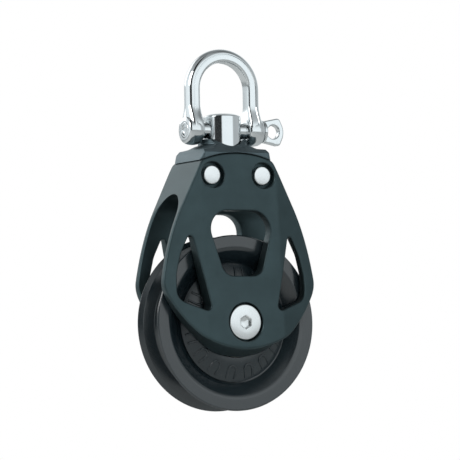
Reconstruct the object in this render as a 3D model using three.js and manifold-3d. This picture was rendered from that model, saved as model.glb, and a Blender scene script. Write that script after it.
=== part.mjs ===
// Single sheave block with a swivel shackle: forged frame, pinned head, ball-guided sheave and D shackle.
// Millimetres. +X is across the cheeks, +Z is up towards the shackle and the sheave turns about Y.
// The design heights below are measured from the sheave axle. At the end the whole block is lowered, so that
// its origin is the point under the crown of the shackle bow where the block hangs.
import * as THREE from "three";
import { mergeVertices } from "three/addons/utils/BufferGeometryUtils.js";
import Module from "manifold-3d";

const wasm = await Module();
wasm.setup();

// ---------------------------------------------------------------- driving dimensions
const SHEAVE_RADIUS = 22.5;
const SHEAVE_HALF_WIDTH = 5.9;
const GROOVE_BOTTOM_RADIUS = 16.4;
const GAP = 0.3;

const CHEEK_INNER_Y = SHEAVE_HALF_WIDTH + GAP;
const SPINE_Y_AT_AXLE = 11.1; // outer face of the cheek spine at the axle
const SPINE_TAPER = 0.072; // how fast the spine thins towards the head
const SPINE_HALF_WIDTH = 11;
const BAR_SLOPE = 0.206; // how fast the side bars thin away from the spine
const CHIN_SLOPE = 0.352; // the bevel along the bottom of each cheek
const FRAME_TOP_Z = 43.2;
const FRAME_SHOULDER = { x: 10.4, z: 41.2 };
const FRAME_BOTTOM_Z = -8.7;
const THROAT_CENTRE_Z = 26.8; // centre of the round arch over the sheave
const CLEAR_OF_FRAME = 14; // further out than any face of the frame, front or back

const CROSS_PIN = { x: 7.26, z: 37.5, shank: 1.5, head: 2.45, headDepth: 1.1, faceY: 7.9 };
const COUNTERBORE_RADIUS = 3.3;
const AXLE = { shank: 3.5, head: 4.6, faceY: 10.9, headDepth: 1.7, threadRadius: 1.9 };
const HEX_SOCKET = { radius: 1.65, depth: 1.4 };
const TONGUE = { halfX: 9.4, halfY: 5.5, bottomZ: 34.6 };
const POCKET_FLOOR_Z = 34.3;

const HEAD_TOP_Z = 47.1;
const HEAD_CORNER = { x: 9.2, y: 8 }; // where the bevel of each plan corner starts
const RIDGE_HALF_Y = 3.1;
const POST = {
  radius: 4.8,
  holeRadius: 5.2,
  neck: 2.6,
  bottomZ: 35.0,
  shoulderZ: 43.9,
  topZ: 53.7,
};
const NUT = { radius: 4.1, fromZ: 35.7, toZ: 38.4, slotTopZ: 39.6 };
const NUT_WASHER = { inner: 2.9, outer: 4.1, fromZ: 38.7, toZ: 39.3 };
const POST_WASHER = { inner: 2.9, outer: 4.9, fromZ: 43.2, toZ: 43.6 };

const SHACKLE_PIN = { z: 49.5, radius: 2.05, collar: 2.9, collarWidth: 0.8 };
const PIN_TAB = { rootX: 11.3, wideX: 16.6, endX: 18.2, holeX: 14.7, holeRadius: 1.75, halfY: 0.95 };
const BOW = { legX: 8.7, centreZ: 60.1, sectionX: 3.5, sectionY: 4.1, edgeRound: 1.0 };
const EYE = { inner: 6.6, middle: 9.2, outer: 10.9, radius: 3.85, innerRadius: 3.1 };
const HANG_POINT_Z = BOW.centreZ + BOW.legX - BOW.sectionX / 2;

const SLEEVE = { outer: 5.6, halfLength: 5.0 };
const SIDE_RACE = { inner: 3.9, outer: 8.6, near: 5.35, far: 5.9 };
const CAGE = { inner: 6.1, outer: 9.6, near: 2.75, far: 3.35 };
const BALLS = { count: 12, radius: 1.2, pitch: 7.9, y: 3.9 };

// Half of the sheave's section, from the bore out to the bottom of the rope groove, in radius and y.
const SHEAVE_SECTION = [
  [5.9, 2.4],
  [9.9, 2.4],
  [9.9, 3.4],
  [15.2, 3.4],
  [17.4, 4.8],
  [18.8, SHEAVE_HALF_WIDTH],
  [22.1, SHEAVE_HALF_WIDTH],
  [SHEAVE_RADIUS, 5.5],
  [22.0, 4.8],
  [18.6, 3.9],
  [17.2, 2.5],
];

const HUB_COVER_SECTION = [
  [9.4, 3.7],
  [15.0, 3.7],
  [14.4, 4.6],
  [12.4, 5.4],
  [9.4, 5.7],
  [8.9, 5.7],
  [8.9, 5.25],
  [9.4, 5.25],
];

// ---------------------------------------------------------------- materials
function finish(color, roughness, metalness) {
  return new THREE.MeshStandardMaterial({ color, roughness, metalness });
}

const anodisedFrame = finish(0x2f3638, 0.5, 0.8);
const anodisedHead = finish(0x59626a, 0.5, 0.8);
const stainless = finish(0xd5d8da, 0.18, 1);
const acetalSheave = finish(0x26282b, 0.45, 0);
const compositeSleeve = finish(0x8b7a4f, 0.6, 0);
const whiteAcetal = finish(0xe9e7df, 0.4, 0);

// ---------------------------------------------------------------- solids
function solidOf(geometry) {
  const bare = geometry.index ? geometry.toNonIndexed() : geometry.clone();
  bare.deleteAttribute("normal");
  bare.deleteAttribute("uv");
  const merged = mergeVertices(bare, 1e-4);
  return new wasm.Manifold(
    new wasm.Mesh({
      numProp: 3,
      vertProperties: new Float32Array(merged.attributes.position.array),
      triVerts: new Uint32Array(merged.index.array),
    }),
  );
}

function geometryOf(solid) {
  const mesh = solid.getMesh();
  const geometry = new THREE.BufferGeometry();
  geometry.setAttribute("position", new THREE.BufferAttribute(mesh.vertProperties, 3));
  geometry.setIndex(new THREE.BufferAttribute(mesh.triVerts, 1));
  geometry.computeVertexNormals();
  return geometry;
}

function join(...solids) {
  return solids.reduce((whole, next) => whole.add(next));
}

function cut(solid, ...cutters) {
  return cutters.reduce((left, cutter) => left.subtract(cutter), solid);
}

// A box given by its lowest and highest corners.
function box(low, high) {
  const size = high.map((value, axis) => value - low[axis]);
  const geometry = new THREE.BoxGeometry(...size);
  geometry.translate(...high.map((value, axis) => (value + low[axis]) / 2));
  return solidOf(geometry);
}

// A rod along X, Y or Z between two places on that axis.
function rod(axis, radius, from, to, [a, b] = [0, 0], sides = 32, endRadius = radius) {
  const geometry = new THREE.CylinderGeometry(endRadius, radius, to - from, sides);
  const middle = (from + to) / 2;
  if (axis === "x") {
    geometry.rotateZ(-Math.PI / 2).translate(middle, a, b);
  } else if (axis === "y") {
    geometry.translate(a, middle, b);
  } else {
    geometry.rotateX(Math.PI / 2).translate(a, b, middle);
  }
  return solidOf(geometry);
}

// A closed outline in X and Z, extruded along Y.
function plateY(outline, fromY, toY, curveSegments = 10) {
  const geometry = new THREE.ExtrudeGeometry(outline, {
    depth: toY - fromY,
    bevelEnabled: false,
    curveSegments,
  });
  geometry.rotateX(Math.PI / 2).translate(0, toY, 0);
  return solidOf(geometry);
}

// A closed outline in Y and Z, extruded along X.
function plateX(outline, fromX, toX, curveSegments = 10) {
  const geometry = new THREE.ExtrudeGeometry(outline, {
    depth: toX - fromX,
    bevelEnabled: false,
    curveSegments,
  });
  geometry.rotateX(Math.PI / 2).rotateZ(Math.PI / 2).translate(fromX, 0, 0);
  return solidOf(geometry);
}

// A lathed ring or disc about Y, from its section in radius and height. A section that starts and ends on the
// axis is closed there.
function latheOf(section, sides) {
  const points = section.map(([radius, height]) => new THREE.Vector2(radius, height));
  const onAxis = points[0].x === 0 && points.at(-1).x === 0;
  const profile = onAxis ? points : [...points, points[0].clone()];
  return new THREE.LatheGeometry(profile, sides);
}

function turnedY(section, sides = 48) {
  return solidOf(latheOf(section, sides));
}

function turnedZ(section, sides = 48) {
  return solidOf(latheOf(section, sides).rotateX(Math.PI / 2));
}

// A section with four corners, for a plain ring.
function ringSection(inner, outer, near, far) {
  return [
    [inner, near],
    [outer, near],
    [outer, far],
    [inner, far],
  ];
}

// A plain ring on the front (side -1) or back (side 1) of the sheave.
function sideRing({ inner, outer, near, far }, side, sides) {
  const [from, to] = side > 0 ? [near, far] : [-far, -near];
  return turnedY(ringSection(inner, outer, from, to), sides);
}

// A polygon whose corners [x, z, radius] are rounded.
function roundedOutline(corners) {
  const shape = new THREE.Shape();
  corners.forEach(([x, z, radius], index) => {
    const before = corners.at(index - 1);
    const after = corners[(index + 1) % corners.length];
    const corner = new THREE.Vector2(x, z);
    const inward = new THREE.Vector2(before[0], before[1]).sub(corner).normalize();
    const onward = new THREE.Vector2(after[0], after[1]).sub(corner).normalize();
    const halfAngle = Math.acos(THREE.MathUtils.clamp(inward.dot(onward), -1, 1)) / 2;
    const reach = radius / Math.tan(halfAngle);
    const start = corner.clone().addScaledVector(inward, reach);
    const end = corner.clone().addScaledVector(onward, reach);
    if (index === 0) {
      shape.moveTo(start.x, start.y);
    } else {
      shape.lineTo(start.x, start.y);
    }
    shape.quadraticCurveTo(corner.x, corner.y, end.x, end.y);
  });
  shape.closePath();
  return shape;
}

function mirroredCorners(corners) {
  return corners.map(([x, z, radius]) => [-x, z, radius]).reverse();
}

// Everything on the outer side of a plane, as a large box standing on that plane.
function beyond(point, normal) {
  const reach = 120;
  const geometry = new THREE.BoxGeometry(reach, reach, reach).translate(0, 0, reach / 2);
  const turn = new THREE.Quaternion().setFromUnitVectors(
    new THREE.Vector3(0, 0, 1),
    new THREE.Vector3(...normal).normalize(),
  );
  geometry.applyQuaternion(turn).translate(...point);
  return solidOf(geometry);
}

// ---------------------------------------------------------------- forged frame
function frameOutline() {
  const shape = new THREE.Shape();
  const { x, z } = FRAME_SHOULDER;
  shape.moveTo(0, FRAME_BOTTOM_Z);
  shape.quadraticCurveTo(6.2, -8.6, 9.8, -5.7);
  shape.quadraticCurveTo(17.2, -0.2, 20.9, 6.9);
  shape.quadraticCurveTo(21.9, 8.9, 21.7, 10.8);
  shape.quadraticCurveTo(20.0, 22.0, 15.9, 30.0);
  shape.lineTo(x, z);
  shape.quadraticCurveTo(0, 2 * FRAME_TOP_Z - z, -x, z);
  shape.lineTo(-15.9, 30.0);
  shape.quadraticCurveTo(-20.0, 22.0, -21.7, 10.8);
  shape.quadraticCurveTo(-21.9, 8.9, -20.9, 6.9);
  shape.quadraticCurveTo(-17.2, -0.2, -9.8, -5.7);
  shape.quadraticCurveTo(-6.2, -8.6, 0, FRAME_BOTTOM_Z);
  return shape;
}

const CENTRE_WINDOW = [
  [-5.2, 11.8, 3.4],
  [5.2, 11.8, 3.4],
  [10.3, 28.4, 5.6],
  [-10.3, 28.4, 5.6],
];

const SIDE_WINDOW = [
  [9.2, 2.4, 1.1],
  [18.4, 5.9, 3.6],
  [18.2, 12.2, 6],
  [17.0, 17.2, 6],
  [14.1, 23.2, 0.9],
];

function spineY(z) {
  return SPINE_Y_AT_AXLE - SPINE_TAPER * z;
}

// The inside of the frame: the sheave slot, closed over the sheave by a round arch.
function throatOutline() {
  const shape = new THREE.Shape();
  shape.moveTo(-CHEEK_INNER_Y, -20);
  shape.lineTo(CHEEK_INNER_Y, -20);
  shape.lineTo(CHEEK_INNER_Y, THROAT_CENTRE_Z);
  shape.absarc(0, THROAT_CENTRE_Z, CHEEK_INNER_Y, 0, Math.PI, false);
  shape.lineTo(-CHEEK_INNER_Y, -20);
  return shape;
}

function forgedFrame() {
  const out = CLEAR_OF_FRAME;
  const blank = plateY(frameOutline(), -out, out, 9);
  const facets = [];
  for (const side of [-1, 1]) {
    const spinePoint = [0, side * SPINE_Y_AT_AXLE, 0];
    facets.push(beyond(spinePoint, [0, side, SPINE_TAPER]));
    facets.push(beyond([0, side * CHEEK_INNER_Y, FRAME_BOTTOM_Z], [0, side * CHIN_SLOPE, -1]));
    for (const hand of [-1, 1]) {
      const edgePoint = [hand * SPINE_HALF_WIDTH, side * SPINE_Y_AT_AXLE, 0];
      facets.push(beyond(edgePoint, [hand * BAR_SLOPE, side, SPINE_TAPER]));
    }
  }
  const windows = [
    plateY(roundedOutline(CENTRE_WINDOW), -out, out, 4),
    plateY(roundedOutline(SIDE_WINDOW), -out, out, 3),
    plateY(roundedOutline(mirroredCorners(SIDE_WINDOW)), -out, out, 3),
  ];
  const pocket = box(
    [-TONGUE.halfX - GAP, -TONGUE.halfY - GAP, POCKET_FLOOR_Z],
    [TONGUE.halfX + GAP, TONGUE.halfY + GAP, FRAME_TOP_Z + 5],
  );
  const axleSeat = AXLE.faceY - AXLE.headDepth - GAP;
  const holes = [
    rod("y", AXLE.shank + GAP, -out, out),
    rod("y", AXLE.head + GAP, -out, -axleSeat),
    rod("y", AXLE.head + GAP, axleSeat, out),
    rod("z", NUT.radius + 0.5, THROAT_CENTRE_Z, POCKET_FLOOR_Z + 1),
  ];
  const pinSeat = CROSS_PIN.faceY - CROSS_PIN.headDepth - GAP;
  for (const hand of [-1, 1]) {
    const spot = [hand * CROSS_PIN.x, CROSS_PIN.z];
    holes.push(rod("y", CROSS_PIN.shank + GAP, -out, out, spot, 20));
    holes.push(rod("y", COUNTERBORE_RADIUS, -out, -pinSeat, spot, 24));
    holes.push(rod("y", COUNTERBORE_RADIUS, pinSeat, out, spot, 24));
  }
  const throat = plateX(throatOutline(), -30, 30, 8);
  return cut(blank, ...facets, throat, ...windows, pocket, ...holes);
}

// ---------------------------------------------------------------- head
function headFrontOutline() {
  const shape = new THREE.Shape();
  const { x, z } = FRAME_SHOULDER;
  shape.moveTo(x, z + GAP);
  shape.lineTo(9.4, 43.4);
  shape.quadraticCurveTo(8.7, 45.6, 6.6, HEAD_TOP_Z);
  shape.lineTo(-6.6, HEAD_TOP_Z);
  shape.quadraticCurveTo(-8.7, 45.6, -9.4, 43.4);
  shape.lineTo(-x, z + GAP);
  shape.quadraticCurveTo(0, 2 * FRAME_TOP_Z - z + GAP, x, z + GAP);
  return shape;
}

function headSideOutline() {
  const shape = new THREE.Shape();
  const edgeY = spineY(FRAME_TOP_Z) - 0.1;
  shape.moveTo(-edgeY, 30);
  shape.lineTo(edgeY, 30);
  shape.lineTo(edgeY, FRAME_TOP_Z + 0.2);
  shape.lineTo(RIDGE_HALF_Y, HEAD_TOP_Z);
  shape.lineTo(-RIDGE_HALF_Y, HEAD_TOP_Z);
  shape.lineTo(-edgeY, FRAME_TOP_Z + 0.2);
  shape.closePath();
  return shape;
}

// The room that the shackle eyes sweep as the post turns.
function swivelRoom() {
  return turnedZ([
    [6.3, 60],
    [6.3, 46.1],
    [7.2, 46.1],
    [9.1, 45.3],
    [14, 45.3],
    [14, 60],
  ]);
}

function headPiece() {
  const cap = plateY(headFrontOutline(), -12, 12, 10).intersect(
    plateX(headSideOutline(), -20, 20, 4),
  );
  const tongue = box(
    [-TONGUE.halfX, -TONGUE.halfY, TONGUE.bottomZ],
    [TONGUE.halfX, TONGUE.halfY, FRAME_SHOULDER.z + 2],
  );
  const cornerCuts = [-1, 1].flatMap((side) =>
    [-1, 1].map((hand) => beyond([hand * HEAD_CORNER.x, side * HEAD_CORNER.y, 0], [hand, side, 0])),
  );
  const out = CLEAR_OF_FRAME;
  const slots = [
    box([-NUT.radius - 0.4, -9, 30], [NUT.radius + 0.4, 9, NUT.slotTopZ]),
    rod("z", POST.neck + GAP, 30, 60, [0, 0], 24),
    rod("z", POST.holeRadius, POST_WASHER.fromZ - GAP, 60, [0, 0], 40),
    rod("y", EYE.radius + 0.45, -out, out, [0, SHACKLE_PIN.z], 32),
    ...[-1, 1].map((hand) =>
      rod("y", CROSS_PIN.shank + GAP / 2, -out, out, [hand * CROSS_PIN.x, CROSS_PIN.z], 20),
    ),
  ];
  return cut(join(cap, tongue), swivelRoom(), ...cornerCuts, ...slots);
}

// ---------------------------------------------------------------- pins and axle
function crossPin(hand) {
  const spot = [hand * CROSS_PIN.x, CROSS_PIN.z];
  const { shank, head, headDepth, faceY } = CROSS_PIN;
  return join(
    rod("y", shank, -faceY + headDepth / 2, faceY - headDepth / 2, spot, 20),
    rod("y", head, -faceY, -faceY + headDepth, spot, 28),
    rod("y", head, faceY - headDepth, faceY, spot, 28),
  );
}

function hexSocket(fromY, toY) {
  return rod("y", HEX_SOCKET.radius, fromY, toY, [0, 0], 6);
}

// The bolt is a barrel: its back half is bored out for the screw.
function axleBolt() {
  const { shank, head, faceY, headDepth, threadRadius } = AXLE;
  const boreFromY = -2;
  const body = join(
    rod("y", head, -faceY, -faceY + headDepth, [0, 0], 40),
    rod("y", shank, -faceY + headDepth / 2, faceY - headDepth - GAP, [0, 0], 32),
  );
  return cut(
    body,
    hexSocket(-faceY - 1, -faceY + HEX_SOCKET.depth),
    rod("y", threadRadius + GAP, boreFromY, CLEAR_OF_FRAME, [0, 0], 24),
  );
}

function axleScrew() {
  const { head, faceY, headDepth, threadRadius } = AXLE;
  const screwFromY = -1;
  const body = join(
    rod("y", head, faceY - headDepth, faceY, [0, 0], 40),
    rod("y", threadRadius, screwFromY, faceY - headDepth / 2, [0, 0], 24),
  );
  return cut(body, hexSocket(faceY - HEX_SOCKET.depth, faceY + 1));
}

// ---------------------------------------------------------------- sheave and bearing
function sheaveBody() {
  const front = SHEAVE_SECTION.map(([radius, y]) => [radius, -y]);
  const back = [...SHEAVE_SECTION].reverse();
  return turnedY([...front, [GROOVE_BOTTOM_RADIUS, 0], ...back]);
}

function hubCover(side) {
  const front = HUB_COVER_SECTION.map(([radius, y]) => [radius, -y]).reverse();
  return turnedY(side > 0 ? HUB_COVER_SECTION : front);
}

function bearingSleeve() {
  const { outer, halfLength } = SLEEVE;
  return turnedY(ringSection(AXLE.shank + GAP, outer, -halfLength, halfLength), 40);
}

function ballPlace(index) {
  const angle = (index / BALLS.count) * 2 * Math.PI;
  return [BALLS.pitch * Math.cos(angle), BALLS.pitch * Math.sin(angle)];
}

function ballCage(side) {
  const reach = side * (CAGE.far + 1);
  const pockets = Array.from({ length: BALLS.count }, (unused, index) =>
    rod("y", BALLS.radius + GAP / 2, Math.min(0, reach), Math.max(0, reach), ballPlace(index), 8),
  );
  return cut(sideRing(CAGE, side, 36), ...pockets);
}

function ball(side, index) {
  const [x, z] = ballPlace(index);
  const geometry = new THREE.IcosahedronGeometry(BALLS.radius, 1);
  return solidOf(geometry.translate(x, side * BALLS.y, z));
}

// ---------------------------------------------------------------- swivel post
function swivelPost() {
  const { radius, neck, bottomZ, shoulderZ, topZ } = POST;
  const body = turnedZ([
    [0, bottomZ],
    [neck - 0.3, bottomZ],
    [neck, bottomZ + 0.4],
    [neck, shoulderZ],
    [radius, shoulderZ],
    [radius, topZ - 1.0],
    [radius - 0.5, topZ - 0.35],
    [radius - 1.6, topZ],
    [0, topZ],
  ], 40);
  return cut(body, rod("x", SHACKLE_PIN.radius + GAP, -8, 8, [0, SHACKLE_PIN.z], 28));
}

function washer({ inner, outer, fromZ, toZ }) {
  return turnedZ(ringSection(inner, outer, fromZ, toZ), 36);
}

function swivelNut() {
  const nut = rod("z", NUT.radius, NUT.fromZ, NUT.toZ, [0, 0], 6);
  return cut(nut, rod("z", POST.neck + GAP, NUT.fromZ - 1, NUT.toZ + 1, [0, 0], 24));
}

// ---------------------------------------------------------------- shackle
class BowPath extends THREE.Curve {
  constructor(legX, footZ, centreZ) {
    super();
    Object.assign(this, { legX, footZ, centreZ });
    this.leg = centreZ - footZ;
    this.arc = Math.PI * legX;
  }

  getPoint(t, target = new THREE.Vector3()) {
    const along = t * (2 * this.leg + this.arc);
    if (along <= this.leg) {
      return target.set(-this.legX, 0, this.footZ + along);
    }
    if (along >= this.leg + this.arc) {
      return target.set(this.legX, 0, this.centreZ - (along - this.leg - this.arc));
    }
    const angle = Math.PI * (1 - (along - this.leg) / this.arc);
    const rise = this.legX * Math.sin(angle);
    return target.set(this.legX * Math.cos(angle), 0, this.centreZ + rise);
  }
}

// The section of the bow: flat front and back with well rounded edges.
function bowSection() {
  const across = BOW.sectionX / 2;
  const deep = BOW.sectionY / 2;
  const edge = BOW.edgeRound;
  const shape = new THREE.Shape();
  shape.moveTo(-across + edge, -deep);
  shape.lineTo(across - edge, -deep);
  shape.quadraticCurveTo(across, -deep, across, -deep + edge);
  shape.lineTo(across, deep - edge);
  shape.quadraticCurveTo(across, deep, across - edge, deep);
  shape.lineTo(-across + edge, deep);
  shape.quadraticCurveTo(-across, deep, -across, deep - edge);
  shape.lineTo(-across, -deep + edge);
  shape.quadraticCurveTo(-across, -deep, -across + edge, -deep);
  return shape;
}

// An eye on one leg: a full drum outside and a taper inside, so that it passes over the head as it swings.
function shackleEye(hand) {
  const { inner, middle, outer, radius, innerRadius } = EYE;
  const spot = [0, SHACKLE_PIN.z];
  if (hand > 0) {
    return join(
      rod("x", innerRadius, inner, middle, spot, 32, radius),
      rod("x", radius, middle, outer, spot, 32),
    );
  }
  return join(
    rod("x", radius, -middle, -inner, spot, 32, innerRadius),
    rod("x", radius, -outer, -middle, spot, 32),
  );
}

// The flare that widens the foot of a leg into its eye.
function legFlare(hand) {
  const footZ = SHACKLE_PIN.z + 2;
  const neckZ = SHACKLE_PIN.z + 6.5;
  const footHalfY = 3.2;
  const neckHalfY = BOW.sectionY / 2 - 0.2;
  const shape = new THREE.Shape();
  shape.moveTo(-footHalfY, footZ);
  shape.lineTo(footHalfY, footZ);
  shape.lineTo(neckHalfY, neckZ);
  shape.lineTo(-neckHalfY, neckZ);
  shape.closePath();
  const faces = [hand * 7.4, hand * 10.4];
  return plateX(shape, Math.min(...faces), Math.max(...faces));
}

function shackleBow() {
  const path = new BowPath(BOW.legX, SHACKLE_PIN.z + 1, BOW.centreZ);
  const bow = solidOf(
    new THREE.ExtrudeGeometry(bowSection(), {
      steps: 32,
      bevelEnabled: false,
      curveSegments: 2,
      extrudePath: path,
    }),
  );
  const feet = [-1, 1].flatMap((hand) => [shackleEye(hand), legFlare(hand)]);
  const hole = rod("x", SHACKLE_PIN.radius + GAP, -20, 20, [0, SHACKLE_PIN.z], 28);
  return cut(join(bow, ...feet), hole);
}

// The captive pin: a collar and a finger tab with a lanyard hole outside one eye, a dimple in the other end.
function shacklePin() {
  const { z, radius, collar, collarWidth } = SHACKLE_PIN;
  const { rootX, wideX, endX, holeX, holeRadius, halfY } = PIN_TAB;
  const tabOutline = roundedOutline([
    [rootX, z - 2.9, 0.6],
    [wideX, z - 3.7, 0.9],
    [endX, z, 2.4],
    [wideX, z + 3.7, 0.9],
    [rootX, z + 2.9, 0.6],
  ]);
  const lanyardHole = new THREE.Path();
  lanyardHole.absarc(holeX, z, holeRadius, 0, 2 * Math.PI, true);
  tabOutline.holes.push(lanyardHole);
  const collarFromX = EYE.outer + GAP;
  const body = join(
    rod("x", radius, -EYE.outer - 0.05, rootX + 0.6, [0, z], 28),
    rod("x", collar, collarFromX, collarFromX + collarWidth, [0, z], 28),
    plateY(tabOutline, -halfY, halfY, 6),
  );
  const dimple = rod("x", 1.5, -EYE.outer - 1, -EYE.outer + 0.45, [0, z], 20);
  return cut(body, dimple);
}

// ---------------------------------------------------------------- assembly
const block = new THREE.Group();
block.name = "single_sheave_block";

// Adds one named piece, lowered from axle heights to heights from the hang point.
function place(name, solid, material) {
  const mesh = new THREE.Mesh(geometryOf(solid), material);
  mesh.name = name;
  mesh.position.z = -HANG_POINT_Z;
  block.add(mesh);
}

place("forged_frame", forgedFrame(), anodisedFrame);
place("head_piece", headPiece(), anodisedHead);
place("cross_pin_left", crossPin(-1), stainless);
place("cross_pin_right", crossPin(1), stainless);
place("axle_bolt", axleBolt(), stainless);
place("axle_screw", axleScrew(), stainless);
place("bearing_sleeve", bearingSleeve(), compositeSleeve);

place("sheave", sheaveBody(), acetalSheave);
for (const [word, side] of [["front", -1], ["back", 1]]) {
  place(`side_race_${word}`, sideRing(SIDE_RACE, side, 40), stainless);
  place(`hub_cover_${word}`, hubCover(side), acetalSheave);
  place(`ball_cage_${word}`, ballCage(side), whiteAcetal);
  for (let index = 0; index < BALLS.count; index += 1) {
    const number = String(index + 1).padStart(2, "0");
    place(`side_ball_${word}_${number}`, ball(side, index), whiteAcetal);
  }
}

place("swivel_post", swivelPost(), stainless);
place("swivel_bearing_washer", washer(POST_WASHER), whiteAcetal);
place("swivel_nut_washer", washer(NUT_WASHER), stainless);
place("swivel_nut", swivelNut(), stainless);
place("shackle_bow", shackleBow(), stainless);
place("shackle_pin", shacklePin(), stainless);

export default block;
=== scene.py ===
"""A single sheave block with a swivel shackle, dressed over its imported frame.

Sizes are millimetres from the centre of the sheave axle, and row_matrix turns them into metres in the frame's
own axes. +X runs across the cheeks, +Y along the axle from the front cheek to the back one, and +Z up to the
shackle.
"""

import logging
import math
from collections.abc import Callable, Iterable, Sequence
from dataclasses import dataclass
from enum import Enum

import bmesh
import bpy
import numpy as np
from mathutils import Matrix, Vector
from mathutils.geometry import delaunay_2d_cdt


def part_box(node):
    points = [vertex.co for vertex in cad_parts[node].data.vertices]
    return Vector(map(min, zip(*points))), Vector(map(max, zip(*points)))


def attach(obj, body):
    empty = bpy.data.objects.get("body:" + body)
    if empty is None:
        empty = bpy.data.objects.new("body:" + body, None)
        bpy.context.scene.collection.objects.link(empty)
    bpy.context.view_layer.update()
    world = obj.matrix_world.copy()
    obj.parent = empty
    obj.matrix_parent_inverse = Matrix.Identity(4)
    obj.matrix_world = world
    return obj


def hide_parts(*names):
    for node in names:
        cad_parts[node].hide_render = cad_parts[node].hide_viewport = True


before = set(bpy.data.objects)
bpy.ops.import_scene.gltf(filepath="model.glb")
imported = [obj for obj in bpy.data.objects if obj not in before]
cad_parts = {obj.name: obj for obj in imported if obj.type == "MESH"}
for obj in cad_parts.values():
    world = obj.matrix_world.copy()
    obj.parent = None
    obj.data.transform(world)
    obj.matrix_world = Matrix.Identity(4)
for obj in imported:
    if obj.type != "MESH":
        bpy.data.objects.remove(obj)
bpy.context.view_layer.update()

LOG = logging.getLogger("sheave_block")
MM = 0.001
SHEAVE_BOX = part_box("sheave")
AXLE_HEIGHT = (SHEAVE_BOX[0][2] + SHEAVE_BOX[1][2]) / 2
FRONT, BACK = -1, 1

Flat = tuple[float, float]
Spot = tuple[float, float, float]


class Axis(Enum):
    """The axis that a turned piece is turned about."""

    X = "x"
    Y = "y"
    Z = "z"


# ------------------------------------------------------------------ points and outlines
def row_matrix() -> Matrix:
    """Returns the matrix from millimetres at the axle to metres in the row frame."""
    return Matrix.Translation((0, 0, AXLE_HEIGHT)) @ Matrix.Scale(MM, 4)


def curve(start: Flat, bends: Sequence[tuple[Flat, Flat]], step: float = 0.6) -> list[Flat]:
    """Follows quadratic bends one after the other.

    Args:
        start: The first point.
        bends: The control point and the end point of each bend.
        step: The spacing of the points, in millimetres.

    Returns:
        The points, without the last one.
    """
    points: list[Flat] = []
    here = Vector(start)
    for control, end in bends:
        pull, goal = Vector(control), Vector(end)
        count = max(2, round((goal - here).length / step))
        for index in range(count):
            t = index / count
            spot = here * (1 - t) ** 2 + pull * 2 * t * (1 - t) + goal * t**2
            points.append((spot.x, spot.y))
        here = goal
    return points


def rounded(corners: Sequence[Spot], steps: int = 6, closed: bool = True) -> list[Flat]:
    """Rounds the corners of a polygon with arcs.

    Args:
        corners: Each corner as its two coordinates and its radius. A radius of 0 leaves it sharp.
        steps: The number of chords in each arc.
        closed: Whether the last corner joins the first. The ends of an open line stay as they are.

    Returns:
        The points of the rounded line.
    """
    points: list[Flat] = []
    for index, (u, v, radius) in enumerate(corners):
        at_end = not closed and index in (0, len(corners) - 1)
        if radius == 0 or at_end:
            points.append((u, v))
            continue
        corner = Vector((u, v))
        before = (Vector(corners[index - 1][:2]) - corner).normalized()
        after = (Vector(corners[(index + 1) % len(corners)][:2]) - corner).normalized()
        half = before.angle(after) / 2
        centre = corner + (before + after).normalized() * radius / math.sin(half)
        begin = corner + before * radius / math.tan(half) - centre
        sweep = begin.angle_signed(corner + after * radius / math.tan(half) - centre)
        for turn in range(steps + 1):
            angle = -sweep * turn / steps
            spoke = Matrix.Rotation(angle, 2) @ begin
            points.append(tuple(centre + spoke))
    return points


def circle(centre: Flat, radius: float, count: int) -> list[Flat]:
    """Returns the points of a circle, clockwise, as a hole's edge runs."""
    steps = [-2 * math.pi * index / count for index in range(count)]
    return [(centre[0] + radius * math.cos(a), centre[1] + radius * math.sin(a)) for a in steps]


def mirrored(points: Sequence[Flat]) -> list[Flat]:
    """Returns the outline mirrored left to right, still running the same way round."""
    return [(-u, v) for u, v in reversed(points)]


def outward(points: Sequence[Flat]) -> list[Vector]:
    """Finds which way is out at each point of a closed line.

    Args:
        points: The line, with the material on its left.

    Returns:
        The direction to the right at each point, lengthened at corners.
    """
    directions = []
    for index, point in enumerate(points):
        before, after = Vector(points[index - 1]), Vector(points[(index + 1) % len(points)])
        here = Vector(point)
        first, second = (here - before).normalized(), (after - here).normalized()
        along = (first + second).normalized()
        directions.append(Vector((along.y, -along.x)) / max(0.5, along.dot(first)))
    return directions


def inset(points: Sequence[Flat], distance: float) -> list[Flat]:
    """Returns a closed line moved into the material by a distance."""
    moves = outward(points)
    return [(u - move.x * distance, v - move.y * distance) for (u, v), move in zip(points, moves)]


def within(spots: np.ndarray, loops: Sequence[np.ndarray]) -> np.ndarray:
    """Tests which spots lie inside the first loop and outside the others.

    Args:
        spots: An array of N points.
        loops: Closed outlines, the outside first and then its holes.

    Returns:
        N truth values.
    """
    inside = np.zeros(len(spots), bool)
    for loop in loops:
        ahead = np.roll(loop, -1, axis=0)
        u, v = spots[:, 0][:, None], spots[:, 1][:, None]
        spans = (loop[:, 1] > v) != (ahead[:, 1] > v)
        rise = np.where(ahead[:, 1] == loop[:, 1], 1e-9, ahead[:, 1] - loop[:, 1])
        reach = (ahead[:, 0] - loop[:, 0]) * (v - loop[:, 1]) / rise + loop[:, 0]
        inside ^= (spans & (u < reach)).sum(axis=1) % 2 == 1
    return inside


def clear_lines(line: Sequence[Flat], loops: Sequence[np.ndarray], margin: float) -> list[list[Flat]]:
    """Cuts a line where it nears or leaves the material.

    Args:
        line: Closely spaced points.
        loops: The edges of the material.
        margin: How far the line keeps from every edge.

    Returns:
        The stretches that are left.
    """
    spots = np.array(line)
    edges = np.vstack(loops)
    gaps = np.linalg.norm(spots[:, None, :] - edges[None, :, :], axis=2).min(axis=1)
    kept = within(spots, loops) & (gaps > margin)
    stretches: list[list[Flat]] = [[]]
    for point, keep in zip(line, kept):
        if keep:
            stretches[-1].append(point)
        elif stretches[-1]:
            stretches.append([])
    return [stretch for stretch in stretches if len(stretch) > 1]


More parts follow.
